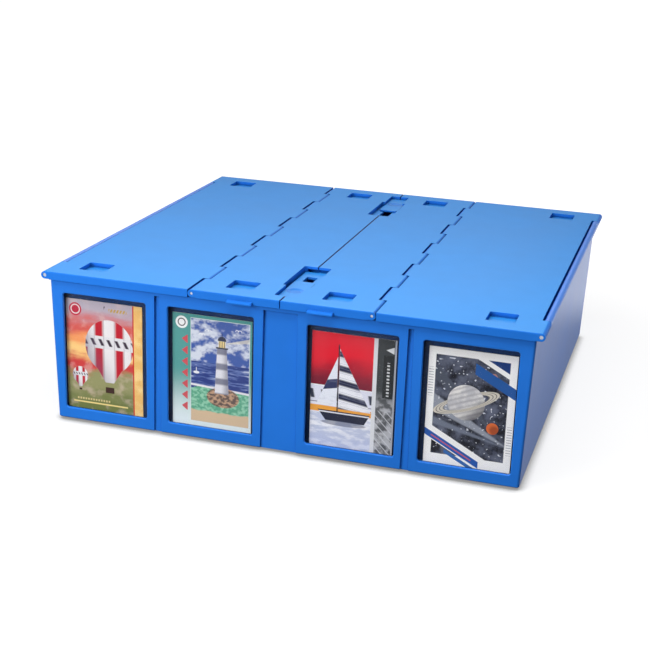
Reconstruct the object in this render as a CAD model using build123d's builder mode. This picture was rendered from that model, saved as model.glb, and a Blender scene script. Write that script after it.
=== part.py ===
"""Trading card storage box: a moulded tub with four card rows, four display windows along its
front, two folding lid halves that meet over a centre seam, and a sliding latch at each end of it.

Millimetres, +Z up, front towards -Y. The origin is under the middle of the box, on the surface
that its feet stand on."""

import os

from build123d import *

os.makedirs("parts", exist_ok=True)

# Cards, and the rows that they stand in
card_width = 63.5
card_height = 88.9
card_thickness = 0.6
row_width = 83.8
row_length = 355.6
divider_thickness = 2.2
divider_drop = 8.2
centre_channel_width = 21.8

# Tub walls, and how far they lean in towards the bottom
wall = 2.4
floor_thickness = 2.6
side_draft = 3.5
end_draft = 0.6
corner_radius = 2.0
bottom_chamfer = 0.8

# Feet that drop into the pockets of the lid below when boxes are stacked
foot_height = 2.0
foot_clearance = 1.0

# Shallow recesses that part the raised bays of the front and back faces, with their widths at the
# top, from where the bays get narrower downwards by the bay draft on each side
groove_width = 4.0
groove_inset = 0.7
bay_relief = 2.2
bay_rim_height = 2.9
bay_draft = 1.1

# Display windows, and the card pockets behind them
window_side_margin = 2.4
window_top_margin = 4.3
window_sill = 9.2
window_head = 9.8
window_radius = 2.0
window_bevel = 0.6
window_shift = 0.3
pocket_side_room = 2.5
pocket_depth = 3.6
pocket_floor_drop = 0.9
pocket_back_wall = 1.8
pane_thickness = 1.0
pane_clearance = 0.1
pane_side_gap = 0.5
pane_top_drop = 8.0
card_back_gap = 0.2

# Lid panels
lid_thickness = 6.2
lid_skin = 2.4
lid_end_overhang = 2.4
lid_seat_gap = 0.3
lid_edge_strip = 5.0
lid_edge_radius = 0.7
lid_rib = 1.8
seam_gap = 0.8
inner_lid_reach = 68.6

# Hinges: the fold hinges have interleaved knuckles, the side hinges one long barrel between two ears
knuckle_radius = 2.9
knuckle_clearance = 0.3
knuckle_gap = 0.8
fold_knuckle_count = 11
fold_end_knuckle = 30.9
side_hinge_outset = 3.1
side_hinge_slit = 0.8
side_ear_length = 29.6
barrel_web_height = 6.0
barrel_web_hollow = 0.8
fold_pin_radius = 1.0
side_pin_radius = 1.4
pin_fit = 0.05
pin_end_recess = 0.4

# Stacking pockets in the lid tops, set in from the tub's sides and ends and from the fold hinge
stack_pocket_width = 21.0
stack_pocket_length = 20.7
stack_pocket_depth = 3.5
stack_pocket_floor = 1.6
stack_pocket_wall = 1.6
stack_pocket_radius = 1.5
stack_side_inset = 28.2
stack_fold_inset = 31.3
stack_end_inset = 23.3

# Lift tabs at both ends of each inner panel
tab_width = 19.2
tab_reach = 3.0
tab_root_height = 2.3
tab_tip_height = 1.1
tab_x = 30.7

# Latch slots along the seam: wide towards the middle of the box, narrow towards its ends
latch_slot_inset = 10.0
latch_slot_depth = 4.2
latch_narrow_width = 17.0
latch_narrow_length = 27.0
latch_wide_width = 22.0
latch_wide_length = 54.0
latch_slot_radius = 1.5
nose_slot_reach = 4.2
nose_slot_skin = 2.1

# Tongues that carry the latches across the seam
tongue_thickness = 1.9
tongue_clearance = 1.2
tongue_corner = 5.0

# Latch slides and the retainers below them
latch_thickness = 1.4
latch_length = 48.1
latch_clearance = 0.3
latch_float = 0.1
latch_nose_radius = 3.0
latch_travel = 36.0
dimple_radius = 6.5
dimple_floor_radius = 4.0
dimple_depth = 0.8
dimple_setback = 22.9
peg_width = 8.0
peg_length = 5.0
peg_clearance = 0.3
peg_setback = 24.7
retainer_foot_width = 13.0
retainer_foot_length = 8.0
retainer_foot_thickness = 1.3

# Places across the box that follow from the sizes above
centre_wall_x = (centre_channel_width + divider_thickness) / 2
centre_recess_half = centre_channel_width / 2 + divider_thickness
row_divider_x = centre_recess_half + row_width + divider_thickness / 2
cavity_half = row_divider_x + divider_thickness / 2 + row_width
groove_x = row_divider_x - groove_inset
half_width = cavity_half + wall
inner_window_x = centre_recess_half + row_width / 2 - window_shift
outer_window_x = cavity_half - row_width / 2 - window_shift
window_centres = [-outer_window_x, -inner_window_x, inner_window_x, outer_window_x]
seam_x = seam_gap / 2
fold_x = inner_lid_reach
side_pin_x = half_width + side_hinge_outset
knuckle_reach = knuckle_radius + knuckle_clearance
side_cut_x = side_pin_x - knuckle_radius - side_hinge_slit
outer_stack_x = half_width - stack_side_inset
inner_stack_x = fold_x - stack_fold_inset

# Places along the box
front_slab = wall + pocket_depth + pocket_back_wall
half_depth = (front_slab + row_length + wall + end_draft) / 2
cavity_front = front_slab - half_depth
cavity_back = half_depth - wall - end_draft
lid_half_depth = half_depth + lid_end_overhang
ear_start = lid_half_depth - side_ear_length
stack_y = half_depth - stack_end_inset
slot_outer_y = half_depth - latch_slot_inset
slot_step_y = slot_outer_y - latch_narrow_length
slot_inner_y = slot_step_y - latch_wide_length
latch_outer_y = slot_outer_y - latch_clearance
peg_outer_y = latch_outer_y - peg_setback

# Window and pocket sizes, and levels
window_width = card_width + 2 * window_side_margin
window_height = card_height + window_top_margin
pocket_width = window_width + 2 * pocket_side_room
tub_height = window_sill + window_height + window_head
base_z = foot_height
floor_z = base_z + floor_thickness
pocket_z = base_z + window_sill - pocket_floor_drop
rim_z = base_z + tub_height
divider_top = rim_z - divider_drop
lid_bottom = rim_z + lid_seat_gap
lid_top = lid_bottom + lid_thickness
pin_z = lid_top - knuckle_radius
tongue_top = lid_top - latch_slot_depth
tongue_bottom = tongue_top - tongue_thickness
latch_bottom = tongue_top + latch_float


def section_at(y):
    """Sketch plane across the box at y, seen from the front, so that extrusions run forwards."""
    return Plane.XZ.offset(-y)


def fold_spans(first):
    """Front-to-back spans of every second fold knuckle, from knuckle number first on."""
    pitch = 2 * (lid_half_depth - fold_end_knuckle) / (fold_knuckle_count - 2)
    last = fold_knuckle_count - 1
    spans = []
    for index in range(first, fold_knuckle_count, 2):
        start = -lid_half_depth + fold_end_knuckle + (index - 1) * pitch + knuckle_gap / 2
        end = start + pitch - knuckle_gap
        if index == 0:
            start = -lid_half_depth
        if index == last:
            end = lid_half_depth
        spans.append((start, end))
    return spans


def hinge_knuckles(pin_x, plate_x, spans):
    """Knuckles round a pin at pin_x, one for each front-to-back span, with arms back to plate_x."""
    with BuildPart() as knuckles:
        for low_y, high_y in spans:
            with BuildSketch(section_at(high_y)):
                with Locations((pin_x, pin_z)):
                    Circle(knuckle_radius)
                with Locations(((pin_x + plate_x) / 2, pin_z)):
                    Rectangle(abs(plate_x - pin_x), 2 * knuckle_radius)
            extrude(amount=high_y - low_y)
    return knuckles.part


def pin_bores(*pins):
    """Rods that cut the bores for pins, each given by its place and radius, right through the lid."""
    with BuildPart() as bores:
        for pin_x, pin_radius in pins:
            with BuildSketch(Plane.XZ):
                with Locations((pin_x, pin_z)):
                    Circle(pin_radius + pin_fit)
            extrude(amount=lid_half_depth, both=True)
    return bores.part


def stack_pocket_boxes(stack_x):
    """Boxes that stand below the skin round the two stacking pockets at stack_x."""
    with BuildPart() as boxes:
        with BuildSketch(Plane.XY.offset(lid_top - stack_pocket_depth - stack_pocket_floor)):
            with Locations((stack_x, -stack_y), (stack_x, stack_y)):
                Rectangle(
                    stack_pocket_width + 2 * stack_pocket_wall,
                    stack_pocket_length + 2 * stack_pocket_wall,
                )
        extrude(amount=stack_pocket_depth + stack_pocket_floor - lid_skin / 2)
    return boxes.part


def stack_pocket_hollows(stack_x):
    """Hollows of the two stacking pockets at stack_x, one near each end of the lid."""
    with BuildPart() as hollows:
        with BuildSketch(Plane.XY.offset(lid_top - stack_pocket_depth)):
            with Locations((stack_x, -stack_y), (stack_x, stack_y)):
                RectangleRounded(stack_pocket_width, stack_pocket_length, stack_pocket_radius)
        extrude(amount=stack_pocket_depth)
    return hollows.part


def turned_half_round(part):
    """The same moulding turned half round the middle of the box."""
    with BuildPart() as turned:
        add(part, rotation=(0, 0, 180))
    return turned.part


# The tub is one moulding: leaning outer walls, four rows, a narrow centre channel under the seam,
# a thick front wall that holds the card pockets, and the long hinge barrels along both sides.
with BuildPart() as tub:
    with BuildSketch(Plane.XY.offset(base_z)):
        RectangleRounded(2 * (half_width - side_draft), 2 * (half_depth - end_draft), corner_radius)
    with BuildSketch(Plane.XY.offset(rim_z)):
        RectangleRounded(2 * half_width, 2 * half_depth, corner_radius)
    loft()
    chamfer(tub.faces().sort_by(Axis.Z)[0].edges(), length=bottom_chamfer)

    # Inside of the tub, with the side walls leaning like the outside
    from_front = (Align.CENTER, Align.MIN)
    floor_lean = side_draft * (1 - floor_thickness / tub_height)
    with BuildSketch(Plane.XY.offset(floor_z)):
        with Locations((0, cavity_front)):
            Rectangle(2 * (cavity_half - floor_lean), row_length, align=from_front)
    with BuildSketch(Plane.XY.offset(rim_z)):
        with Locations((0, cavity_front)):
            Rectangle(2 * cavity_half, row_length, align=from_front)
    loft(mode=Mode.SUBTRACT)

    # Row dividers and the two walls of the centre channel, rooted in the front and back walls
    divider_root = wall / 2
    with BuildSketch(Plane.XY.offset(floor_z)):
        for divider_x in (-row_divider_x, -centre_wall_x, centre_wall_x, row_divider_x):
            with Locations((divider_x, cavity_front - divider_root)):
                Rectangle(divider_thickness, row_length + 2 * divider_root, align=from_front)
    extrude(amount=divider_top - floor_z)

    # The centre channel reaches forwards to the wall behind the centre recess
    recess_back = bay_relief + wall
    with BuildSketch(Plane.XY.offset(floor_z)):
        with Locations((0, recess_back - half_depth)):
            Rectangle(centre_channel_width, front_slab - recess_back, align=from_front)
    extrude(amount=rim_z - floor_z, mode=Mode.SUBTRACT)

    # Thickenings inside the back wall, behind its grooves and its centre recess
    recesses = [(-groove_x, groove_width), (0, 2 * centre_recess_half), (groove_x, groove_width)]
    with BuildSketch(Plane.XY.offset(floor_z)):
        for middle_x, top_width in recesses:
            with Locations((middle_x, half_depth - recess_back)):
                Rectangle(
                    top_width + 2 * bay_draft + 2 * wall,
                    recess_back - wall / 2 - end_draft,
                    align=from_front,
                )
    extrude(amount=rim_z - floor_z)

    # Grooves between the bays and the wide centre recess, closed by a rim at the top
    recess_top = rim_z - bay_rim_height
    for face_y in (-half_depth, half_depth):
        with BuildSketch(section_at(face_y)):
            for middle_x, top_width in recesses:
                with BuildLine():
                    Polyline(
                        (middle_x - top_width / 2, recess_top),
                        (middle_x + top_width / 2, recess_top),
                        (middle_x + top_width / 2 + bay_draft, 0),
                        (middle_x - top_width / 2 - bay_draft, 0),
                        close=True,
                    )
                make_face()
        extrude(amount=bay_relief, both=True, mode=Mode.SUBTRACT)

    # Window openings, cut square to the leaning front face, with a small bevel round their edge
    front_face = Plane(origin=(0, -half_depth, rim_z), x_dir=(1, 0, 0), z_dir=(0, tub_height, end_draft))
    window_places = [(x, window_head + window_height / 2) for x in window_centres]
    with BuildSketch(front_face):
        with Locations(*window_places):
            RectangleRounded(window_width, window_height, window_radius)
    extrude(amount=wall + pocket_depth / 2, mode=Mode.SUBTRACT)
    with BuildSketch(front_face):
        with Locations(*window_places):
            RectangleRounded(
                window_width + 2 * window_bevel,
                window_height + 2 * window_bevel,
                window_radius + window_bevel,
            )
    extrude(amount=window_bevel, taper=45, mode=Mode.SUBTRACT)

    # Pockets that the cards and their panes drop into from above
    with BuildSketch(Plane.XY.offset(pocket_z)):
        with Locations(*[(x, wall - half_depth) for x in window_centres]):
            Rectangle(pocket_width, pocket_depth, align=from_front)
    extrude(amount=rim_z - pocket_z, mode=Mode.SUBTRACT)

    # Side hinge barrels between the ears of the lids, each on a hollow web that grows out of the wall
    barrel_end = ear_start - knuckle_gap / 2
    web_foot_z = rim_z - barrel_web_height
    web_root_x = half_width - wall / 2
    with BuildSketch(Plane.XZ):
        with Locations((side_pin_x, pin_z)):
            Circle(knuckle_radius)
        with BuildLine():
            web_underside = SagittaArc(
                (side_pin_x, pin_z - knuckle_radius),
                (half_width - side_draft * barrel_web_height / tub_height, web_foot_z),
                -barrel_web_hollow,
            )
            Polyline(
                web_underside @ 1,
                (web_root_x, web_foot_z),
                (web_root_x, rim_z),
                (half_width, rim_z),
                (side_pin_x - knuckle_radius / 2, pin_z),
                web_underside @ 0,
            )
        make_face()
        mirror(about=Plane.YZ)
    extrude(amount=barrel_end, both=True)
    add(pin_bores((-side_pin_x, side_pin_radius), (side_pin_x, side_pin_radius)), mode=Mode.SUBTRACT)

    # Stacking feet
    with BuildSketch(Plane.XY):
        for foot_x in (-outer_stack_x, -inner_stack_x, inner_stack_x, outer_stack_x):
            with Locations((foot_x, -stack_y), (foot_x, stack_y)):
                Rectangle(
                    stack_pocket_width - 2 * foot_clearance,
                    stack_pocket_length - 2 * foot_clearance,
                )
    extrude(amount=foot_height)

tub.part.label = "tub"
export_step(tub.part, "parts/tub.step")


# Behind each window stand a clear pane and a display card, both dropped into the pocket. The cards
# stand a little off the middle of their windows, the first two to the left, the others to the right.
pane_y = wall + pane_clearance - half_depth
pane_height = rim_z - pane_top_drop - pocket_z
card_y = wall + pocket_depth - card_back_gap - card_thickness - half_depth
card_offsets = [-2.7, -0.3, 0.1, 1.1]
for number, (window_x, card_offset) in enumerate(zip(window_centres, card_offsets), start=1):
    with BuildPart() as window_pane:
        with BuildSketch(Plane.XY.offset(pocket_z)):
            with Locations((window_x, pane_y)):
                Rectangle(pocket_width - 2 * pane_side_gap, pane_thickness, align=from_front)
        extrude(amount=pane_height)
    window_pane.part.label = f"window_pane_{number}"
    export_step(window_pane.part, f"parts/window_pane_{number}.step")

    with BuildPart() as display_card:
        with BuildSketch(Plane.XY.offset(pocket_z)):
            with Locations((window_x + card_offset, card_y)):
                Rectangle(card_width, card_thickness, align=from_front)
        extrude(amount=card_height)
    display_card.part.label = f"display_card_{number}"
    export_step(display_card.part, f"parts/display_card_{number}.step")


# Every lid panel is trimmed to one bar across the box, whose top edges at the front and the back
# are rounded.
with BuildPart() as lid_bar:
    with BuildSketch(Plane.YZ) as lid_section:
        with Locations((0, lid_top / 2)):
            Rectangle(2 * lid_half_depth, lid_top)
        fillet(lid_section.vertices().group_by(Axis.Y)[-1], radius=lid_edge_radius)
    extrude(amount=side_pin_x + knuckle_radius, both=True)


# An outer lid panel is a skinned plate with ribs below, five fold knuckles along its inner edge and
# an ear at each end of its outer edge. The right one is modelled; turned half round it is the left.
hollow_depth = lid_thickness - lid_skin
hollow_rows = 5
hollow_columns = 2
hollow_length = (2 * lid_half_depth - 2 * lid_edge_strip - (hollow_rows - 1) * lid_rib) / hollow_rows
with BuildPart() as right_outer_lid:
    plate_low_x = fold_x + knuckle_reach
    plate_mid_x = (plate_low_x + side_cut_x) / 2
    plate_width = side_cut_x - plate_low_x
    with BuildSketch(Plane.XY.offset(lid_bottom)):
        with Locations((plate_mid_x, 0)):
            Rectangle(plate_width, 2 * lid_half_depth)
    extrude(amount=lid_thickness)

    # Hollow underside between the edge strip and the ribs
    ribs_width = (hollow_columns - 1) * lid_rib
    hollow_width = (plate_width - 2 * lid_edge_strip - ribs_width) / hollow_columns
    with BuildSketch(Plane.XY.offset(lid_bottom)):
        with Locations((plate_mid_x, 0)):
            with GridLocations(
                hollow_width + lid_rib, hollow_length + lid_rib, hollow_columns, hollow_rows
            ):
                Rectangle(hollow_width, hollow_length)
    extrude(amount=hollow_depth, mode=Mode.SUBTRACT)
    add(stack_pocket_boxes(outer_stack_x))

    # Fold knuckles and the two ears of the side hinge, rooted one rib's width inside the plate
    ear_spans = [(-lid_half_depth, -ear_start), (ear_start, lid_half_depth)]
    add(hinge_knuckles(fold_x, plate_low_x + lid_rib, fold_spans(1)))
    add(hinge_knuckles(side_pin_x, side_cut_x - lid_rib, ear_spans))

    # Bores, stacking pockets and rounded ends
    add(pin_bores((fold_x, fold_pin_radius), (side_pin_x, side_pin_radius)), mode=Mode.SUBTRACT)
    add(stack_pocket_hollows(outer_stack_x), mode=Mode.SUBTRACT)
    add(lid_bar.part, mode=Mode.INTERSECT)

right_outer_lid.part.label = "right_outer_lid"
export_step(right_outer_lid.part, "parts/right_outer_lid.step")


# An inner lid panel has six fold knuckles, lift tabs at both ends and, along the seam, a latch slot
# at each end: the front one of the right panel has the tongue that carries a latch, and the other
# is the notch that the left panel's tongue and latch reach into.
with BuildPart() as right_inner_lid:
    plate_high_x = fold_x - knuckle_reach
    with BuildSketch(Plane.XY.offset(lid_bottom)):
        with Locations(((seam_x + plate_high_x) / 2, 0)):
            Rectangle(plate_high_x - seam_x, 2 * lid_half_depth)
    extrude(amount=lid_thickness)

    # Hollow underside beside the latches and between them
    latch_block_x = latch_wide_width / 2 + 2 * lid_rib
    wide_hollow_low = latch_block_x + lid_rib
    wide_hollow_high = plate_high_x - lid_edge_strip
    seam_hollow_low = seam_x + lid_edge_strip
    seam_hollow_half = slot_inner_y - nose_slot_reach - lid_edge_strip
    with BuildSketch(Plane.XY.offset(lid_bottom)):
        with Locations(((wide_hollow_low + wide_hollow_high) / 2, 0)):
            with GridLocations(0, hollow_length + lid_rib, 1, hollow_rows):
                Rectangle(wide_hollow_high - wide_hollow_low, hollow_length)
        with Locations(((seam_hollow_low + latch_block_x) / 2, 0)):
            Rectangle(latch_block_x - seam_hollow_low, 2 * seam_hollow_half)
    extrude(amount=hollow_depth, mode=Mode.SUBTRACT)

    # Stacking pockets, fold knuckles and pin bore
    add(stack_pocket_boxes(inner_stack_x))
    add(stack_pocket_hollows(inner_stack_x), mode=Mode.SUBTRACT)
    add(hinge_knuckles(fold_x, plate_high_x - lid_rib, fold_spans(0)))
    add(pin_bores((fold_x, fold_pin_radius)), mode=Mode.SUBTRACT)

    # Latch slots: down to the tongue at the front, right through at the back
    for end, cut_z in ((-1, tongue_top), (1, lid_bottom)):
        with BuildSketch(Plane.XY.offset(cut_z)) as slot_outline:
            with Locations((0, end * (slot_inner_y + slot_step_y) / 2)):
                Rectangle(latch_wide_width, latch_wide_length)
            with Locations((0, end * (slot_inner_y + slot_outer_y) / 2)):
                Rectangle(latch_narrow_width, latch_wide_length + latch_narrow_length)
            corners_by_y = slot_outline.vertices().group_by(Axis.Y)
            fillet(corners_by_y[0] + corners_by_y[-1], radius=latch_slot_radius)
        extrude(amount=lid_top - cut_z, mode=Mode.SUBTRACT)

    # Slots under the skin at the inner ends, open below, which the latch noses enter to lock the
    # two halves
    nose_slot_y = slot_inner_y - nose_slot_reach / 2
    with BuildSketch(Plane.XY.offset(lid_bottom)):
        with Locations((0, -nose_slot_y), (0, nose_slot_y)):
            Rectangle(latch_narrow_width, nose_slot_reach)
    extrude(amount=lid_thickness - nose_slot_skin, mode=Mode.SUBTRACT)
    add(lid_bar.part, mode=Mode.INTERSECT)

    # Tongue that reaches across the seam into the other panel's notch, sloping in where it narrows
    tongue_root_x = latch_wide_width / 2
    tongue_wide_x = tongue_clearance - latch_wide_width / 2
    tongue_narrow_x = tongue_clearance - latch_narrow_width / 2
    tongue_inner_y = -slot_inner_y - tongue_clearance
    tongue_step_y = -slot_step_y + tongue_clearance
    tongue_outer_y = -slot_outer_y + tongue_clearance
    with BuildSketch(Plane.XY.offset(tongue_bottom)):
        with BuildLine():
            Polyline(
                (tongue_root_x, tongue_inner_y),
                (tongue_wide_x, tongue_inner_y),
                (tongue_wide_x, tongue_step_y + tongue_corner),
                (tongue_narrow_x, tongue_step_y),
                (tongue_narrow_x, tongue_outer_y),
                (tongue_root_x, tongue_outer_y),
                close=True,
            )
        make_face()
    extrude(amount=tongue_thickness)

    # Slot in the tongue for the latch's peg, as long as the latch travels
    with BuildSketch(Plane.XY.offset(lid_bottom)):
        with Locations((0, -peg_outer_y - peg_clearance)):
            Rectangle(
                peg_width + 2 * peg_clearance,
                peg_length + latch_travel + 2 * peg_clearance,
                align=from_front,
            )
    extrude(amount=tongue_top - lid_bottom, mode=Mode.SUBTRACT)

    # Lift tabs with a sloping top
    with BuildSketch(Plane.YZ.offset(tab_x - tab_width / 2)):
        with BuildLine():
            Polyline(
                (lid_half_depth - lid_rib, lid_bottom),
                (lid_half_depth - lid_rib, lid_bottom + tab_root_height),
                (lid_half_depth, lid_bottom + tab_root_height),
                (lid_half_depth + tab_reach, lid_bottom + tab_tip_height),
                (lid_half_depth + tab_reach, lid_bottom),
                close=True,
            )
        make_face()
        mirror(about=Plane.YZ)
    extrude(amount=tab_width)

right_inner_lid.part.label = "right_inner_lid"
export_step(right_inner_lid.part, "parts/right_inner_lid.step")


# The left panels come from the same moulds, turned half round.
left_outer_lid = turned_half_round(right_outer_lid.part)
left_outer_lid.label = "left_outer_lid"
export_step(left_outer_lid, "parts/left_outer_lid.step")

left_inner_lid = turned_half_round(right_inner_lid.part)
left_inner_lid.label = "left_inner_lid"
export_step(left_inner_lid, "parts/left_inner_lid.step")


# Steel hinge pins run the whole depth of the lid, their ends just inside the end knuckles.
for name, pin_x, pin_radius in (
    ("left_side_hinge_pin", -side_pin_x, side_pin_radius),
    ("left_fold_hinge_pin", -fold_x, fold_pin_radius),
    ("right_fold_hinge_pin", fold_x, fold_pin_radius),
    ("right_side_hinge_pin", side_pin_x, side_pin_radius),
):
    with BuildPart() as hinge_pin:
        with BuildSketch(Plane.XZ):
            with Locations((pin_x, pin_z)):
                Circle(pin_radius)
        extrude(amount=lid_half_depth - pin_end_recess, both=True)
    hinge_pin.part.label = name
    export_step(hinge_pin.part, f"parts/{name}.step")


# Each latch is a flat slide with a round finger dimple and rounded corners, most at its nose.
with BuildPart() as front_latch_slide:
    with BuildSketch(Plane.XY.offset(latch_bottom)) as slide_outline:
        with Locations((0, -latch_outer_y)):
            Rectangle(latch_narrow_width - 2 * latch_clearance, latch_length, align=from_front)
        fillet(slide_outline.vertices().group_by(Axis.Y)[0], radius=latch_slot_radius)
        fillet(slide_outline.vertices().group_by(Axis.Y)[-1], radius=latch_nose_radius)
    extrude(amount=latch_thickness)
    with Locations((0, dimple_setback - latch_outer_y, latch_bottom + latch_thickness - dimple_depth / 2)):
        Cone(dimple_floor_radius, dimple_radius, dimple_depth, mode=Mode.SUBTRACT)


# Its retainer, a peg on a wide foot, is pressed on from below through the slot in the tongue.
with BuildPart() as front_latch_retainer:
    foot_top = tongue_bottom - latch_float
    peg_middle = peg_length / 2 - peg_outer_y
    with BuildSketch(Plane.XY.offset(foot_top - retainer_foot_thickness)):
        with Locations((0, peg_middle)):
            Rectangle(retainer_foot_width, retainer_foot_length)
    extrude(amount=retainer_foot_thickness)
    with BuildSketch(Plane.XY.offset(foot_top)):
        with Locations((0, peg_middle)):
            Rectangle(peg_width, peg_length)
    extrude(amount=latch_bottom - foot_top)

for name, latch_piece in (
    ("front_latch_slide", front_latch_slide.part),
    ("front_latch_retainer", front_latch_retainer.part),
    ("rear_latch_slide", turned_half_round(front_latch_slide.part)),
    ("rear_latch_retainer", turned_half_round(front_latch_retainer.part)),
):
    latch_piece.label = name
    export_step(latch_piece, f"parts/{name}.step")
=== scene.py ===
"""Trading card storage box in blue polypropylene, dressed for pictures.

Metres, +Z up, front towards -Y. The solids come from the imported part, and each piece is finished
where it stands: the tub, its panes and cards, the hinge pins, the lid panels and the latches."""

import math

import bpy
from mathutils import Matrix, Vector


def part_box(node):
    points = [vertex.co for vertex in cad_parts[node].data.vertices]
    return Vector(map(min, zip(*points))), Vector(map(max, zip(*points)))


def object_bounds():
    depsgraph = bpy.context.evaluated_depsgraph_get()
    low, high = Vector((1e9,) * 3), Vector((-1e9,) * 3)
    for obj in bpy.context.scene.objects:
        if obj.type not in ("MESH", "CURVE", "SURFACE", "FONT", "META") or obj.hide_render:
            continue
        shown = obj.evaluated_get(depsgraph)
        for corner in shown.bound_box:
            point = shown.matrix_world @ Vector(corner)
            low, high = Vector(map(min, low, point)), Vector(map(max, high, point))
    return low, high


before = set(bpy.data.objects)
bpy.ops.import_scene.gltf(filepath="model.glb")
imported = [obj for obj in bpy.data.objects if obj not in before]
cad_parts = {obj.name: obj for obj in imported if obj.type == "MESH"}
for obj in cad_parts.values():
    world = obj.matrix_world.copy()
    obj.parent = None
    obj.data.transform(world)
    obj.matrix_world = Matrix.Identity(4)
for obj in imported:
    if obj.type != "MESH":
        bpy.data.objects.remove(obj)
cad_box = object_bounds()
MM = 0.001


# Tub
# The real one is a single injection moulding in blue polypropylene, off a mould with a fine satin
# texture. Its edges keep the small radius of the cutter. Its edges are painted paler as a highlight,
# and its creases and deep pockets darker as painted shade.
class Signal:
    """An output of a shader node, so that sums on shader values can be written as they are read."""

    def __init__(self, finish, socket):
        self.finish = finish
        self.socket = socket

    def maths(self, operation, *values):
        return self.finish.node("ShaderNodeMath", {"operation": operation}, *values)

    def __add__(self, other):
        return self.maths("ADD", self, other)

    def __sub__(self, other):
        return self.maths("SUBTRACT", self, other)

    def __rsub__(self, other):
        return self.maths("SUBTRACT", other, self)

    def __mul__(self, other):
        return self.maths("MULTIPLY", self, other)

    def __neg__(self):
        return self.maths("MULTIPLY", self, -1.0)

    def __abs__(self):
        return self.maths("ABSOLUTE", self)

    def root(self):
        return self.maths("SQRT", self)

    def lower(self, other):
        """The lower of two values."""
        return self.maths("MINIMUM", self, other)

    def higher(self, other):
        """The higher of two values."""
        return self.maths("MAXIMUM", self, other)

    __radd__ = __add__
    __rmul__ = __mul__


class Finish:
    """A material under one Principled shader, and the nodes that drive it."""

    def __init__(self, name):
        self.material = bpy.data.materials.new(name)
        self.material.use_nodes = True
        self.tree = self.material.node_tree
        self.tree.nodes.clear()
        self.shader = self.tree.nodes.new("ShaderNodeBsdfPrincipled")
        output = self.tree.nodes.new("ShaderNodeOutputMaterial")
        self.tree.links.new(self.shader.outputs["BSDF"], output.inputs["Surface"])

    def feed(self, socket, value):
        if isinstance(value, Signal):
            self.tree.links.new(value.socket, socket)
        else:
            socket.default_value = value

    def node(self, kind, settings=None, *values, out=0, **named):
        """Adds a node, sets its settings first, fills its sockets by order or name, gives an output."""
        made = self.tree.nodes.new(kind)
        for key, value in (settings or {}).items():
            setattr(made, key, value)
        for socket, value in zip(made.inputs, values):
            self.feed(socket, value)
        for key, value in named.items():
            self.feed(made.inputs[key.replace("_", " ")], value)
        return Signal(self, made.outputs[out])

    def set(self, **sockets):
        for key, value in sockets.items():
            self.feed(self.shader.inputs[key.replace("_", " ")], value)

    def place(self, centre=(0, 0, 0), scale=1.0):
        """Object coordinates measured from a centre, times a scale."""
        place = self.node("ShaderNodeTexCoord", out="Object")
        moved = self.node("ShaderNodeVectorMath", {"operation": "SUBTRACT"}, place, tuple(centre))
        return self.node("ShaderNodeMapping", None, moved, Scale=(scale, scale, scale))

    def along(self, axis, vector):
        """One part of a vector: X, Y or Z."""
        return self.node("ShaderNodeSeparateXYZ", None, vector, out=axis)

    def noise(self, place, scale, detail=2.0, roughness=0.5):
        return self.node("ShaderNodeTexNoise", None, Vector=place, Scale=scale, Detail=detail,
                         Roughness=roughness)

    def step(self, value, low, high):
        """0 below low and 1 above high, with a smooth rise between."""
        return self.node("ShaderNodeMapRange", {"interpolation_type": "SMOOTHSTEP"}, value, low, high)

    def openness(self, reach, samples=6):
        """1 where nothing stands within reach of the surface, and less the more of it is shut in."""
        return self.node("ShaderNodeAmbientOcclusion", {"samples": samples}, Distance=reach, out="AO")

    def blend(self, amount, under, over):
        """The colour over laid on the colour under, as far as amount says.

        The node's number, vector and colour sockets share their names, so they are told by index."""
        first_colour = 6
        second_colour = 7
        mixed_colour = 2
        made = self.tree.nodes.new("ShaderNodeMix")
        made.data_type = "RGBA"
        self.feed(made.inputs["Factor"], amount)
        self.feed(made.inputs[first_colour], under)
        self.feed(made.inputs[second_colour], over)
        return Signal(self, made.outputs[mixed_colour])


def colour(red, green, blue):
    """A colour given by its screen values from 0 to 255, as the linear light that shaders take."""
    linear = []
    for value in (red, green, blue):
        share = value / 255
        linear.append(share / 12.92 if share <= 0.04045 else ((share + 0.055) / 1.055) ** 2.4)
    return (*linear, 1.0)


def grey(share):
    """A grey by its share of linear light."""
    return (share, share, share, 1.0)


def shade(tint, share):
    """A colour made darker or paler by a share."""
    return tuple(min(1.0, part * share) for part in tint[:3]) + (1.0,)


black = grey(0.0)
plastic_index = 1.49
edge_radius = 0.45 * MM
grain_height = 0.03 * MM
grain_per_metre = 2600.0
blotches_per_metre = 60.0
drifts_per_metre = 9.0


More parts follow.
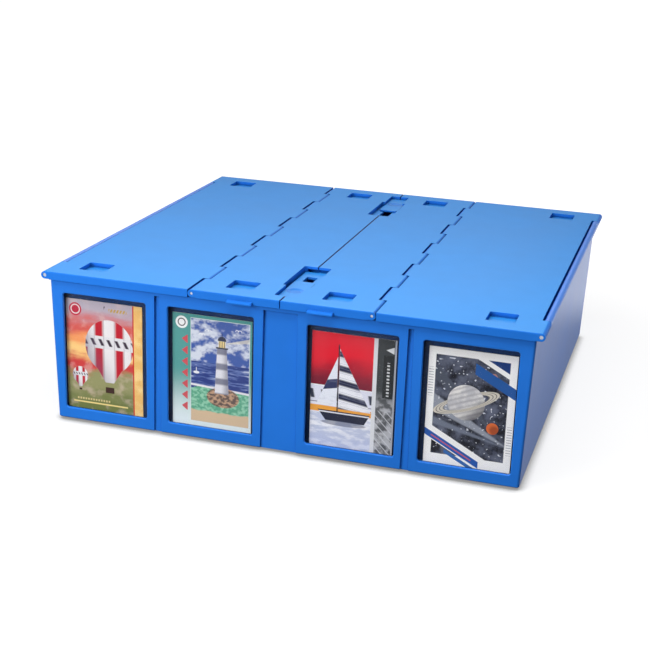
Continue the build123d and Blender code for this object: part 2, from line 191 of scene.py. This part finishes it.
def moulded_plastic(name, body, lit_top, sheen, shine, crease_glow_share, reach, polish=0.0, pocket=0.0, level=0.92):
    """Satin moulded plastic with a fine grain and slow colour drift, and light and shade painted on it.

    The body colour covers all but the faces that lie upwards in the closed box, those whose normal's Z
    is over the level. They have the lit top colour, which is painted light from above where it is
    paler than the body. Sheen is the roughness, shine the strength of reflections, and polish the coat
    on side walls. Edges are painted paler as a highlight. Creases are painted in shade within the
    reach, the walls of deep pockets within the pocket's depth. A crease glow share of 1 paints a navy
    glow into the creases, standing in for light let through thin walls, and makes their shade lighter."""
    finish = Finish(name)
    place = finish.place()
    soft_edge = finish.node("ShaderNodeBevel", {"samples": 6}, edge_radius)
    face = finish.node("ShaderNodeNewGeometry", out="Normal")
    agreement = finish.node("ShaderNodeVectorMath", {"operation": "DOT_PRODUCT"}, soft_edge, face,
                            out="Value")
    edge_highlight = finish.step(1.0 - agreement, 0.03, 0.35)
    own_normal = finish.node("ShaderNodeTexCoord", out="Normal")
    upward = finish.step(finish.along("Z", own_normal), level, 0.998)
    side_wall = finish.step(abs(finish.along("X", own_normal)), 0.80, 0.98)

    def tinted(on_body, on_top):
        """The plastic's colour, made darker or paler by one share on the body and one on top."""
        return finish.blend(upward, shade(body, on_body), shade(lit_top, on_top))

    drift = finish.noise(place, drifts_per_metre, detail=3.0)
    blotch = finish.noise(place, blotches_per_metre, detail=2.0)
    tone = finish.step(drift * 0.7 + blotch * 0.3, 0.25, 0.75)
    plain = finish.blend(tone, tinted(0.94, 0.96), tinted(1.05, 1.04))

    # Painted shade in creases, with a painted navy glow in them set by the crease glow share.
    painted_crease_shade = shade(body, 0.10 + 0.06 * crease_glow_share)
    painted_crease_glow = (0.0, 0.006 * crease_glow_share, 0.09 * crease_glow_share, 1.0)
    openness = finish.openness(reach)
    lit = finish.step(openness, 0.32 - 0.12 * crease_glow_share, 0.74 + 0.20 * crease_glow_share)
    if pocket:
        lit = lit.lower(finish.step(finish.openness(pocket), 0.14, 0.46))

    grain = finish.noise(place, grain_per_metre, detail=2.0, roughness=0.6)
    finish.upward = upward
    # Painted highlight: edges paler. Painted shade: creases darker where lit is low.
    finish.skin = finish.blend(edge_highlight * 0.5, finish.blend(lit, painted_crease_shade, plain), tinted(1.15, 1.10))
    finish.set(
        Base_Color=finish.skin,
        Roughness=sheen + (grain - 0.5) * 0.10 + (drift - 0.5) * 0.08,
        Normal=finish.node("ShaderNodeBump", None, Strength=0.10, Distance=grain_height, Height=grain,
                           Normal=soft_edge),
        IOR=plastic_index,
        Specular_IOR_Level=shine,
        Coat_Weight=side_wall * polish,
        Coat_Roughness=0.24,
        Emission_Color=finish.blend(finish.step(openness, 0.10, 0.45), painted_crease_glow, black),
        Emission_Strength=1.0,
    )
    return finish


def dress(node, finish):
    """Gives a carried-over solid its finish on every slot."""
    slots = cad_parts[node].material_slots
    for slot in slots:
        slot.link = "DATA"
        slot.material = finish.material
    if not slots:
        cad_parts[node].data.materials.append(finish.material)


deep_blue = colour(36, 119, 221)
# The pocket reach paints the walls of the tub's deep pockets in shade.
tub_plastic = moulded_plastic("tub_polypropylene", deep_blue, deep_blue, sheen=0.40, shine=0.14, crease_glow_share=0.0,
                              reach=2.4 * MM, polish=0.52, pocket=8.0 * MM)
dress("tub", tub_plastic)


# Hinge pins
# Four straight drawn steel wires, pushed in from the front through all the knuckles. Only their cut
# ends show, inside the end knuckles.
pin_steel = Finish("drawn_steel_wire")
scuffs_per_metre = 900.0
pin_scuff = pin_steel.noise(pin_steel.place(), scuffs_per_metre, detail=3.0)
pin_steel.set(
    Base_Color=pin_steel.blend(pin_scuff, colour(146, 154, 168), colour(186, 192, 202)),
    Metallic=1.0,
    Roughness=0.30 + pin_scuff * 0.18,
)
for side in ("left", "right"):
    for hinge in ("side", "fold"):
        dress(f"{side}_{hinge}_hinge_pin", pin_steel)


# Window panes
# Clear polypropylene sheets, one in front of each display card. They are so clear that they show as
# a faint veil, a little stronger in the cloudy streaks that cooling leaves in such sheet.
card_rows = 4
pane_clear = Finish("clear_sheet")
streaks_per_metre = (30.0, 30.0, 6.0)
pane_place = pane_clear.node("ShaderNodeMapping", None, pane_clear.place(), Scale=streaks_per_metre)
pane_haze = pane_clear.noise(pane_place, 1.0, detail=3.0)
pane_clear.set(
    Base_Color=pane_clear.blend(pane_haze, colour(206, 214, 236), colour(238, 240, 248)),
    Roughness=0.10 + pane_haze * 0.05,
    Alpha=0.002 + pane_clear.step(pane_haze, 0.35, 0.75) * 0.014,
    IOR=plastic_index,
)
for row_number in range(1, card_rows + 1):
    dress(f"window_pane_{row_number}", pane_clear)


# Display cards
# Four printed board cards stand behind the panes, pictures outwards. Each has a coated printed front
# and a grey board edge and back. The pictures are of places and things.
# In millimetres on the card: the blur of a printed edge, and sizes that run past the card's own.
card_soft = 0.15
whole_width = 70.0
whole_height = 92.0


class Picture(Finish):
    """A card's print, drawn in millimetres across (u) and up (v) from the middle of the card.

    Angles are in degrees, up from the line across. Soft is half the width of a blurred edge."""

    def __init__(self, node):
        super().__init__(f"print_{node}")
        low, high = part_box(node)
        middle = [(a + b) / 2 for a, b in zip(low, high)]
        self.node_name = node
        self.spot = self.place(middle, 1 / MM)
        self.u = self.along("X", self.spot)
        self.v = self.along("Z", self.spot)
        self.ink = colour(255, 255, 255)

    def cloud(self, across, up, detail=3.0, roughness=0.5, shift=0.0):
        """Noise with so many features to the millimetre across and up."""
        stretched = self.node("ShaderNodeMapping", None, self.spot, Location=(shift, 0.0, shift),
                              Scale=(across, 1.0, up))
        return self.noise(stretched, 1.0, detail, roughness)

    def box(self, u, v, width, height):
        """Mask of a rectangle centred at u, v."""
        reach = (abs(self.u - u) - width / 2).higher(abs(self.v - v) - height / 2)
        return self.step(-reach, -card_soft, card_soft)

    def disc(self, u, v, radius, soft=card_soft, squash=1.0):
        """Mask of a disc centred at u, v, taller than wide where squash is over 1."""
        across = (self.u - u) * (self.u - u)
        up = (self.v - v) * (self.v - v) * (1 / squash ** 2)
        return self.step(radius - (across + up).root(), -soft, soft)

    def ring(self, u, v, radius, width):
        """Mask of a ring round u, v, as wide as given inwards from its radius."""
        return self.disc(u, v, radius) * (1.0 - self.disc(u, v, radius - width))

    def off_line(self, u, v, angle):
        """Distance from the line through u, v at an angle, positive on its upper side."""
        return (self.v - v) * math.cos(math.radians(angle)) - (self.u - u) * math.sin(math.radians(angle))

    def above(self, u, v, angle, soft=card_soft):
        """Mask of everything on the upper side of the line through u, v at an angle."""
        return self.step(self.off_line(u, v, angle), -soft, soft)

    def band(self, u, v, angle, width):
        """Mask of an endless band along the line through u, v at an angle."""
        return self.step(width / 2 - abs(self.off_line(u, v, angle)), -card_soft, card_soft)

    def wedge(self, u, v, first, second, soft=card_soft):
        """Mask of what is above the line through u, v at the first angle and below the second."""
        return self.above(u, v, first, soft) * (1.0 - self.above(u, v, second, soft))

    def stripes(self, value, pitch, share=0.5, soft=0.08):
        """Mask of stripes along a value, one each pitch, their width and blur as shares of it."""
        phase = self.node("ShaderNodeMath", {"operation": "FRACT"}, value * (1 / pitch) + 100.0)
        return self.step(share / 2 - abs(phase - 0.5), -soft, soft)

    def paint(self, mask, tint):
        self.ink = self.blend(mask, self.ink, tint)

    def print_on_card(self):
        """Puts the picture on the front and plain board on the edges and the back."""
        normal = self.node("ShaderNodeNewGeometry", out="Normal")
        facing = self.step(-self.along("Y", normal), 0.4, 0.6)
        fibre = self.noise(self.spot, 1.4, detail=3.0)
        board = self.blend(fibre, colour(196, 192, 184), colour(222, 219, 212))
        self.set(
            Base_Color=self.blend(facing, board, self.ink),
            Roughness=0.38 + fibre * 0.12,
            IOR=1.5,
            Specular_IOR_Level=0.10,
        )
        dress(self.node_name, self)


# Card 1: striped balloons over blurred evening fields, with a gold edge and a gold rule
card = Picture("display_card_1")
streak = card.cloud(0.018, 0.085, detail=4.0)
mottle = card.cloud(0.10, 0.12, detail=3.0, shift=7.0)
blurred_v = card.v + (streak - 0.5) * 26.0 + (mottle - 0.5) * 8.0
card.ink = card.blend(card.step(blurred_v, 24, 40), colour(214, 92, 84), colour(186, 176, 190))
for layer_top, layer_full, layer_tint in (
    (22, 12, colour(244, 156, 96)),
    (12, 4, colour(252, 206, 132)),
    (3, -5, colour(206, 66, 66)),
    (-9, -17, colour(150, 150, 104)),
    (-24, -40, colour(112, 122, 70)),
):
    card.paint(card.step(-blurred_v, -layer_top, -layer_full), layer_tint)
card.paint(card.step(mottle, 0.50, 0.72) * 0.35, colour(236, 206, 196))

for balloon_u, balloon_v, radius in ((4.0, 9.0, 20.0), (-21.0, -17.0, 6.5)):
    envelope = card.disc(balloon_u, balloon_v, radius, squash=1.08)
    throat = card.wedge(balloon_u, balloon_v - 1.75 * radius, 58, 122)
    skirt = throat * card.box(balloon_u, balloon_v - 1.02 * radius, 2 * radius, 0.9 * radius)
    cloth = envelope.higher(skirt)
    across_cloth = ((card.u - balloon_u) * (1 / radius)).higher(-1.0).lower(1.0)
    turn_round = card.node("ShaderNodeMath", {"operation": "ARCSINE"}, across_cloth)
    card.paint(cloth, colour(236, 232, 234))
    card.paint(cloth * card.stripes(turn_round, 0.9, 0.42), colour(190, 34, 50))
    belt_v = balloon_v + 0.15 * radius
    belt = cloth * card.band(balloon_u, belt_v, 0, 0.5 * radius)
    card.paint(belt, colour(228, 226, 230))
    belt_bars = cloth * card.stripes(card.u + card.v * 0.5, 0.34 * radius, 0.4)
    card.paint(belt_bars * card.band(balloon_u, belt_v, 0, 0.26 * radius), colour(60, 48, 62))
    up_cloth = card.off_line(balloon_u, balloon_v, 0) * (0.6 / radius)
    shaded = card.step(-turn_round - up_cloth, 0.1, 1.5)
    card.paint(cloth * shaded * 0.55, colour(96, 84, 112))
    seam_lines = card.stripes(turn_round, 0.45, 0.08, soft=0.03)
    card.paint(cloth * seam_lines * 0.4, colour(120, 104, 120))
    basket = card.box(balloon_u, balloon_v - 1.78 * radius, 0.36 * radius, 0.24 * radius)
    card.paint(basket, colour(64, 44, 40))

gold_edge = card.box(28.2, 0.0, 7.2, whole_height)
card.paint(gold_edge, colour(240, 190, 112))
card.paint(gold_edge * card.step(mottle, 0.4, 0.7) * 0.6, colour(255, 228, 160))
red_line = card.box(24.2, 0.0, 1.0, whole_height)
card.paint(red_line, colour(206, 48, 34))
gold_rule = card.box(-4.0, -39.0, 46.0, 1.2)
card.paint(gold_rule, colour(238, 214, 140))
dash_row = card.box(-10.0, -36.2, 28.0, 1.6) * card.stripes(card.u, 2.2, 0.6)
card.paint(dash_row, colour(214, 196, 140))
roundel_u = -24.0
roundel_v = 36.5
card.paint(card.disc(roundel_u, roundel_v, 5.2), colour(190, 40, 64))
card.paint(card.ring(roundel_u, roundel_v, 4.0, 0.9), colour(240, 220, 222))
slant_v = 38.5
dark_chip = card.box(10.0, slant_v, 20.0, 5.6) * card.above(0.0, slant_v, 70)
card.paint(dark_chip, colour(44, 38, 34))
gold_slants = card.box(11.5, slant_v, 15.0, 2.6) * card.stripes(card.u - card.v * 0.4, 2.6, 0.6)
card.paint(gold_slants, colour(196, 160, 84))
card.print_on_card()

# Card 2: a lighthouse over the sea, a wide border at its left that fades from teal to white
card = Picture("display_card_2")
fade = card.step(card.v, -44, 4)
card.ink = card.blend(fade, colour(226, 238, 240), colour(84, 156, 152))
scene_u = 6.5
scene_v = 0.5
scene_width = 46.5
scene_height = 82.0
outline = 0.4
scene = card.box(scene_u, scene_v, scene_width, scene_height)
card.paint(card.box(scene_u, scene_v, scene_width + 2 * outline, scene_height + 2 * outline),
           colour(232, 238, 238))
puff = card.cloud(0.07, 0.11, detail=5.0, roughness=0.6)
ripple = card.cloud(0.09, 0.6, detail=3.0, shift=3.0)
grass = card.cloud(0.35, 0.5, detail=3.0, shift=11.0)
card.paint(scene, card.blend(card.step(puff, 0.44, 0.60), colour(70, 96, 168), colour(214, 220, 234)))
sea = scene * card.step(-card.v, -8.0, -7.6)
card.paint(sea, card.blend(card.step(ripple, 0.42, 0.62), colour(50, 66, 132), colour(98, 118, 176)))
card.paint(sea * card.step(ripple, 0.62, 0.70) * 0.8, colour(206, 212, 226))
shore = scene * card.step(-card.v + (puff - 0.5) * 10.0, 12.4, 12.9)
card.paint(shore, card.blend(card.step(grass, 0.4, 0.65), colour(96, 168, 138), colour(152, 208, 180)))
sand = scene * card.step(-card.v + (puff - 0.5) * 6.0, 31.0, 32.0)
card.paint(sand, colour(214, 188, 156))
surf = scene * card.band(6.0, -12.2, -3, 1.6)
card.paint(surf, colour(232, 230, 236))
rock = scene * card.disc(9.0, -19.0, 13.0, soft=0.6, squash=0.62)
card.paint(rock, card.blend(card.step(grass, 0.42, 0.62), colour(104, 88, 84), colour(196, 160, 132)))

tower_u = 8.0
tower_foot_v = -16.0
tower_half_width = 5.6
lean_in = 0.05
tower_side = tower_half_width - (card.v - tower_foot_v) * lean_in
tower_taper = card.step(tower_side - abs(card.u - tower_u), -card_soft, card_soft)
tower = tower_taper * card.box(tower_u, 2.0, 30.0, 36.0)
card.paint(tower, colour(226, 226, 234))
card.paint(tower * card.stripes(card.v, 12.0, 0.42), colour(132, 134, 152))
card.paint(tower * card.step(card.u - tower_u, -1.0, 5.0) * 0.6, colour(92, 94, 120))
gallery = card.box(tower_u, 20.6, 9.6, 1.3)
card.paint(gallery, colour(60, 64, 82))
lantern = card.box(tower_u, 23.6, 5.4, 5.0)
card.paint(lantern, colour(238, 214, 150))
card.paint(lantern * card.stripes(card.u, 1.8, 0.3), colour(60, 62, 78))
dome = card.disc(tower_u, 26.4, 3.4) * card.above(0.0, 26.2, 0)
card.paint(dome, colour(52, 56, 78))
dome_rod = card.box(tower_u, 30.5, 0.6, 3.6)
card.paint(dome_rod, colour(52, 56, 78))
beam = card.wedge(tower_u, 23.8, 8, 17, soft=0.4) * card.step(card.u - tower_u, 2.0, 5.0) * scene
card.paint(beam * 0.55, colour(248, 240, 210))

boat_u = -12.5
boat = card.disc(boat_u, -1.0, 2.4, squash=0.45) + card.box(boat_u, 1.0, 0.5, 4.0)
card.paint(boat, colour(232, 234, 240))
wing_radius = 1.6
wing_gap = 1.1
for gull_u, gull_v in ((-8.0, 30.0), (-3.0, 33.5), (21.0, 36.0)):
    left_wing = card.ring(gull_u - wing_gap, gull_v - wing_gap, wing_radius, 0.5)
    right_wing = card.ring(gull_u + wing_gap, gull_v - wing_gap, wing_radius, 0.5)
    wings = left_wing.higher(right_wing) * card.above(0.0, gull_v - 0.9, 0)
    card.paint(wings, colour(246, 248, 250))
pennants = 7
for pennant in range(pennants):
    pennant_v = 24.5 - 9.0 * pennant
    pennant_cloth = card.wedge(-24.3, pennant_v, -38, 38) * card.box(-22.3, pennant_v, 5.6, 6.4)
    card.paint(pennant_cloth, colour(206, 84, 92))
roundel_u = -24.4
roundel_v = 37.4
card.paint(card.disc(roundel_u, roundel_v, 4.9), colour(244, 246, 246))
card.paint(card.ring(roundel_u, roundel_v, 3.2, 0.8), colour(66, 58, 70))
card.print_on_card()

# Card 3: a sailing boat off a red evening sky, and a dark grey strip with a white rule at its right
card = Picture("display_card_3")
glow_field = card.cloud(0.03, 0.06, detail=3.0)
foam = card.cloud(0.10, 0.30, detail=4.0, shift=5.0)
sky_height = card.step(card.v + (glow_field - 0.5) * 22.0, 4, 30)
card.ink = card.blend(sky_height, colour(120, 22, 46), colour(234, 26, 48))
high_glow = card.step(card.v + (glow_field - 0.5) * 16.0, 30, 44)
card.paint(high_glow * 0.5, colour(240, 50, 66))

quay_v = 3.0
quay = card.step(-card.v, -quay_v, -quay_v + 0.3)
card.paint(quay, colour(228, 230, 246))
card.paint(card.box(0.0, quay_v, whole_width, 0.6), colour(246, 246, 250))
quay_windows = card.box(0.0, -4.0, whole_width, 7.0) * card.stripes(card.u + card.v * 0.2, 9.0, 0.34)
card.paint(quay_windows, colour(52, 56, 74))
for line_v, line_height, line_tint in (
    (-10.2, 0.5, colour(86, 88, 120)),
    (-14.6, 7.4, colour(236, 236, 250)),
    (-15.2, 5.0, colour(240, 166, 70)),
):
    card.paint(card.box(0.0, line_v, whole_width, line_height), line_tint)
sea = card.step(-card.v, 18.6, 18.9)
card.paint(sea, card.blend(card.step(foam, 0.40, 0.62), colour(200, 208, 232), colour(244, 246, 255)))
card.paint(sea * card.step(-card.v, 24, 44) * 0.4, colour(176, 188, 230))

mast_u = -11.0
behind_mast = card.step(card.u - mast_u, 0.5, 0.8)
before_mast = card.step(mast_u - card.u, 0.5, 0.8)
sail = card.above(mast_u, -14.0, 0) * behind_mast * (1.0 - card.above(mast_u, 34.0, -62))
jib = card.above(mast_u, -12.0, 0) * before_mast * (1.0 - card.above(mast_u, 28.0, 68))
up_sail = card.v + card.u * 0.15
card.paint(sail, colour(246, 247, 255))
card.paint(sail * card.stripes(up_sail, 11.0, 0.42), colour(40, 44, 72))
card.paint(sail * card.stripes(up_sail, 3.7, 0.08, soft=0.04) * 0.6, colour(120, 126, 152))
card.paint(jib, colour(236, 240, 252))
card.paint(jib * card.band(mast_u, 6.0, 12, 7.0), colour(52, 58, 96))
card.paint((sail + jib) * card.step(foam, 0.5, 0.8) * 0.4, colour(150, 156, 184))
mast = card.box(mast_u, 8.0, 0.9, 56.0)
card.paint(mast, colour(38, 36, 46))
hull_u = -6.0
bow = card.above(hull_u - 20.0, -16.0, -52)
stern = card.above(hull_u + 20.0, -16.0, 62)
hull = card.box(hull_u, -20.0, 40.0, 8.0) * bow * stern
card.paint(hull, colour(38, 42, 62))
card.paint(hull * card.box(hull_u, -17.4, 44.0, 1.0), colour(232, 234, 242))
reflection = card.disc(hull_u, -25.4, 17.0, soft=1.2, squash=0.12)
card.paint(reflection * 0.6, colour(70, 78, 110))

strip = card.box(24.6, 0.0, 14.4, whole_height)
smoke = card.cloud(0.18, 0.18, detail=4.0, shift=9.0)
strip_low = card.blend(card.step(smoke, 0.40, 0.62), colour(92, 94, 98), colour(186, 188, 194))
card.paint(strip, card.blend(card.step(card.v, -10, 6), strip_low, colour(56, 60, 62)))
card.paint(strip * card.box(26.2, 16.0, 7.6, 33.0), colour(34, 37, 38))
ladder = strip * card.box(26.2, 14.0, 2.0, 26.0) * card.stripes(card.v, 2.6, 0.5)
card.paint(ladder, colour(214, 216, 218))
arrow = strip * card.wedge(24.0, 36.5, -24, 24) * card.box(27.0, 36.5, 6.0, 5.0)
card.paint(arrow, colour(222, 224, 226))
slants = strip * card.stripes(card.u + card.v, 6.0, 0.12) * card.step(-card.v, 10, 12)
card.paint(slants, colour(214, 216, 222))
white_rule = card.box(16.3, 0.0, 3.0, whole_height)
card.paint(white_rule, colour(228, 230, 236))
grey_rule = card.box(31.2, 0.0, 1.4, whole_height)
card.paint(grey_rule, colour(176, 180, 190))
card.print_on_card()

# Card 4: a ringed planet over dark ground in a white border, with blue bands across two corners
card = Picture("display_card_4")
tick_u = 29.4
ticks = card.stripes(card.v, 2.0, 0.22)
for side_u, ticks_v in ((-tick_u, 18.0), (tick_u, -20.0)):
    card.paint(ticks * card.box(side_u, ticks_v, 3.6, 22.0), colour(150, 154, 166))
dust = card.cloud(0.09, 0.09, detail=5.0, roughness=0.62)
night = card.box(0.0, 1.0, 53.0, 76.0)
card.paint(night, card.blend(card.step(dust, 0.36, 0.68), colour(22, 23, 32), colour(100, 106, 126)))
for first, second, ray_tint in (
    (148, 158, colour(150, 156, 170)),
    (163, 168, colour(112, 120, 138)),
    (134, 140, colour(78, 84, 98)),
):
    card.paint(night * card.wedge(30.0, -26.0, first, second, soft=0.8), ray_tint)
speck = card.noise(card.spot, 0.55, detail=0.0)
card.paint(night * card.step(speck, 0.72, 0.76), colour(220, 224, 234))

planet_u = -3.0
planet_v = 5.0
ring_tilt = 22.0
planet = card.disc(planet_u, planet_v, 13.5)
along = ((card.u - planet_u) * math.cos(math.radians(ring_tilt))
         + (card.v - planet_v) * math.sin(math.radians(ring_tilt)))
across = card.off_line(planet_u, planet_v, ring_tilt) * 4.2
ring_reach = (along * along + across * across).root()
rings = card.step(ring_reach, 17.0, 17.4) * (1.0 - card.step(ring_reach, 25.0, 25.4))
card.paint(planet, card.blend(card.step(dust, 0.35, 0.65), colour(196, 196, 202), colour(240, 238, 236)))
card.paint(planet * card.stripes(across + dust * 8.0, 15.0, 0.4, soft=0.2) * 0.5, colour(150, 148, 156))
night_side = card.step(card.u - card.v - planet_u + planet_v, 2.0, 19.0)
card.paint(planet * night_side * 0.75, colour(58, 56, 66))
seen_rings = rings * (1.0 - planet * card.above(planet_u, planet_v, ring_tilt))
card.paint(seen_rings, colour(214, 208, 196))
card.paint(seen_rings * card.stripes(ring_reach, 2.7, 0.22), colour(96, 92, 96))
small_planet = card.disc(17.0, -12.0, 4.4)
card.paint(small_planet * night, colour(222, 112, 62))
card.paint(card.disc(18.4, -13.2, 3.4, soft=1.4) * small_planet * 0.6, colour(120, 44, 30))
moon = card.disc(15.5, 27.0, 2.6)
card.paint(moon * night, colour(176, 130, 120))

fall = -28
upper_corner = card.above(8.0, 40.0, fall) * night
card.paint(upper_corner, colour(34, 62, 122))
card.paint(card.band(8.0, 38.6, fall, 3.4), colour(255, 255, 255))
card.paint(card.band(5.0, 30.0, fall, 7.4) * card.step(card.u, 2.0, 2.3), colour(42, 92, 164))
card.paint(card.band(-8.0, -31.0, fall, 9.5), colour(255, 255, 255))
low_band_u = -9.0
low_band_v = -32.5
low_band = card.band(low_band_u, low_band_v, fall, 4.6) * card.box(-12.0, -26.0, 41.0, 40.0)
card.paint(low_band, colour(40, 92, 176))
red_thread = card.band(low_band_u, low_band_v, fall, 0.8) * card.box(-12.0, -26.0, 30.0, 40.0)
card.paint(red_thread, colour(206, 92, 108))
lowest_band = card.band(-6.0, -40.0, fall, 2.6) * card.box(-2.0, -36.0, 30.0, 40.0)
card.paint(lowest_band, colour(56, 108, 178))
card.print_on_card()


# Lid panels
# Two outer and two inner panels of the tub's plastic, each a flat moulding with ribs below. The tops
# are painted a paler blue for the light that falls on them from above. Along the seam the tops are
# painted dark as shade, so the seam shows as a dark line wider than its gap.
# Painted light: the tops of lids and latches take this paler blue for the light falling from above.
lit_top_blue = colour(48, 146, 230)
lid_plastic = moulded_plastic("lid_polypropylene", deep_blue, lit_top_blue, sheen=0.46, shine=0.05, crease_glow_share=1.0,
                              reach=4.0 * MM)
lid_top = cad_box[1][2]
top_starts = lid_top - 0.6 * MM
top_ends = lid_top - 1.0 * MM
seam_half = 0.55 * MM
seam_soft = 0.45 * MM
lid_place = lid_plastic.place()
from_seam = abs(lid_plastic.along("X", lid_place))
on_top = lid_plastic.step(lid_plastic.along("Z", lid_place), top_ends, top_starts)
beside_seam = 1.0 - lid_plastic.step(from_seam, seam_half, seam_half + seam_soft)
# Painted shade: a dark strip on the tops along each side of the seam.
seam_shade = beside_seam * lid_plastic.upward * on_top
lid_plastic.set(Base_Color=lid_plastic.blend(seam_shade, lid_plastic.skin, shade(deep_blue, 0.22)))
for side in ("left", "right"):
    for panel in ("outer", "inner"):
        dress(f"{side}_{panel}_lid", lid_plastic)


# Latches
# Two flat slides with a finger dimple, each held down by a foot pressed on from below, all moulded in
# the lid's plastic. Their tops are painted paler for the light from above, and the dimple floor a deeper
# blue as painted shade.
latch_plastic = moulded_plastic("latch_polypropylene", deep_blue, lit_top_blue, sheen=0.44, shine=0.05,
                                crease_glow_share=1.0, reach=4.0 * MM, level=0.975)
dimple_shade_blue = colour(38, 129, 218)
dimple_from_end = 22.9 * MM
dimple_radius = 6.0 * MM
dimple_soft = 0.8 * MM
dimple_middle = -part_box("front_latch_slide")[0][1] - dimple_from_end
latch_place = latch_plastic.place()
across_latch = latch_plastic.along("X", latch_place)
along_latch = abs(latch_plastic.along("Y", latch_place)) - dimple_middle
from_middle = (across_latch * across_latch + along_latch * along_latch).root()
# Painted shade: the dimple floor in a deeper blue than the top round it.
dimple_shade = latch_plastic.step(dimple_radius - from_middle, -dimple_soft, dimple_soft)
latch_plastic.set(Base_Color=latch_plastic.blend(dimple_shade, latch_plastic.skin, dimple_shade_blue))
for end in ("front", "rear"):
    for latch_piece in ("slide", "retainer"):
        dress(f"{end}_latch_{latch_piece}", latch_plastic)


# Studio
# A white table that runs on without an edge, in a white room with four soft lamps: overhead, at the
# front left, low behind the box, and a panel that only reflections show. The camera stands where the
# photograph was taken from.
def ray_is(finish, kind):
    """1 for rays of a kind (Camera, Glossy or Transmission) and 0 for the others."""
    return finish.node("ShaderNodeLightPath", out=f"Is {kind} Ray")


def seen_directly(finish):
    """1 for rays from the camera, and for those mirrored or let through, which see the backdrop too."""
    indirect = ray_is(finish, "Glossy").higher(ray_is(finish, "Transmission"))
    return ray_is(finish, "Camera").higher(indirect)


table_size = 12.0
bpy.ops.object.select_all(action="DESELECT")
bpy.ops.mesh.primitive_plane_add(size=table_size)
table = bpy.context.object
table.name = "table_top"

table_white = Finish("white_table")
table_seen = seen_directly(table_white)
table_place = table_white.place()
table_x = table_white.along("X", table_place)
table_y = table_white.along("Y", table_place)
box_low, box_high = cad_box
past_sides = (table_x - box_high[0]).higher(box_low[0] - table_x).higher(0.0)
past_ends = (table_y - box_high[1]).higher(box_low[1] - table_y).higher(0.0)
past_box = past_sides + past_ends
contact_reach = 9.0 * MM
contact = table_white.openness(contact_reach, samples=8)


def rising(value, low, high, start):
    """The glow of the table from its share at the start, below low, to 1 above high."""
    return start + table_white.step(value, low, high) * (1.0 - start)


# Painted shadow: the table's glow drops where the box shuts it in and a little near the box, and in
# reflections the table is darker near the box.
direct_glow = rising(contact, 0.35, 0.98, start=0.30) * rising(past_box, 0.05, 0.40, start=0.86)
mirrored_glow = rising(past_box, 0.0, 0.16, start=0.30)
mirrored = ray_is(table_white, "Glossy")
fibre = table_white.noise(table_white.place(), 700.0, detail=2.0)
table_white.set(
    Base_Color=table_white.blend(table_seen, grey(0.12), grey(0.20)),
    Roughness=0.85 + fibre * 0.1,
    Specular_IOR_Level=0.0,
    Emission_Color=table_seen * (direct_glow * (1.0 - mirrored) + mirrored_glow * mirrored),
    Emission_Strength=1.0,
)
table.data.materials.append(table_white.material)


class Room(Finish):
    """The white room round the table, as the nodes of the world."""

    def __init__(self, name):
        self.world = bpy.data.worlds.new(name)
        self.world.use_nodes = True
        self.tree = self.world.node_tree
        self.tree.nodes.clear()
        self.shader = self.tree.nodes.new("ShaderNodeBackground")
        output = self.tree.nodes.new("ShaderNodeOutputWorld")
        self.tree.links.new(self.shader.outputs["Background"], output.inputs["Surface"])


room = Room("white_room")
bpy.context.scene.world = room.world
room_dim = 0.22
window_gain = 0.05
window_side = Vector((-0.25, -0.68, 0.69)).normalized()
skyward = room.node("ShaderNodeTexCoord", out="Generated")
towards_window = room.node("ShaderNodeVectorMath", {"operation": "DOT_PRODUCT"}, skyward,
                           tuple(window_side), out="Value").higher(0.0)
soft_light = room_dim + towards_window * towards_window * window_gain
seen = seen_directly(room)
room.set(Color=soft_light * (1.0 - seen) + seen, Strength=1.0)


def soft_lamp(name, place, aim, width, length, energy):
    """A rectangular lamp at a place that faces the point it is aimed at, with its energy in watts."""
    light = bpy.data.lights.new(name, "AREA")
    light.shape = "RECTANGLE"
    light.size = width
    light.size_y = length
    light.energy = energy
    lamp = bpy.data.objects.new(name, light)
    bpy.context.collection.objects.link(lamp)
    lamp.location = place
    lamp.rotation_euler = (Vector(aim) - Vector(place)).to_track_quat("-Z", "Y").to_euler()
    return lamp


soft_lamp("overhead_softbox", place=(0.08, -0.40, 0.78), aim=(0.0, -0.06, 0.10),
          width=0.50, length=0.40, energy=4.4)
soft_lamp("left_softbox", place=(-0.42, -0.80, 0.34), aim=(-0.05, -0.15, 0.06),
          width=0.45, length=0.45, energy=4.6)
rear_fill = soft_lamp("rear_fill", place=(0.55, 1.70, 0.12), aim=(0.0, 0.18, 0.06),
                      width=1.20, length=0.20, energy=22.0)
rear_fill.visible_glossy = False
gloss_panel = soft_lamp("gloss_panel", place=(-0.30, 0.70, 0.70), aim=(0.0, -0.15, 0.10),
                        width=0.90, length=0.40, energy=6.2)
gloss_panel.visible_diffuse = False

# The camera's place, turns in radians and lens were solved from the straight edges in the photograph.
camera_place = (0.28831, -1.04254, 0.40816)
camera_yaw = -0.28789
camera_pitch = 0.32513
camera_roll = 0.03493
camera_data = bpy.data.cameras.new("photograph")
camera_data.sensor_width = 36.0
camera_data.lens = 73.06
camera = bpy.data.objects.new("photograph", camera_data)
bpy.context.collection.objects.link(camera)
ahead = Vector((
    math.sin(camera_yaw) * math.cos(camera_pitch),
    math.cos(camera_yaw) * math.cos(camera_pitch),
    -math.sin(camera_pitch),
))
level_right = Vector((math.cos(camera_yaw), -math.sin(camera_yaw), 0.0))
level_up = level_right.cross(ahead)
right = level_right * math.cos(camera_roll) + level_up * math.sin(camera_roll)
up = level_up * math.cos(camera_roll) - level_right * math.sin(camera_roll)
turn = Matrix((right, up, -ahead)).transposed()
camera.matrix_world = Matrix.Translation(camera_place) @ turn.to_4x4()
bpy.context.scene.camera = camera
bpy.context.scene.view_settings.view_transform = "Standard"
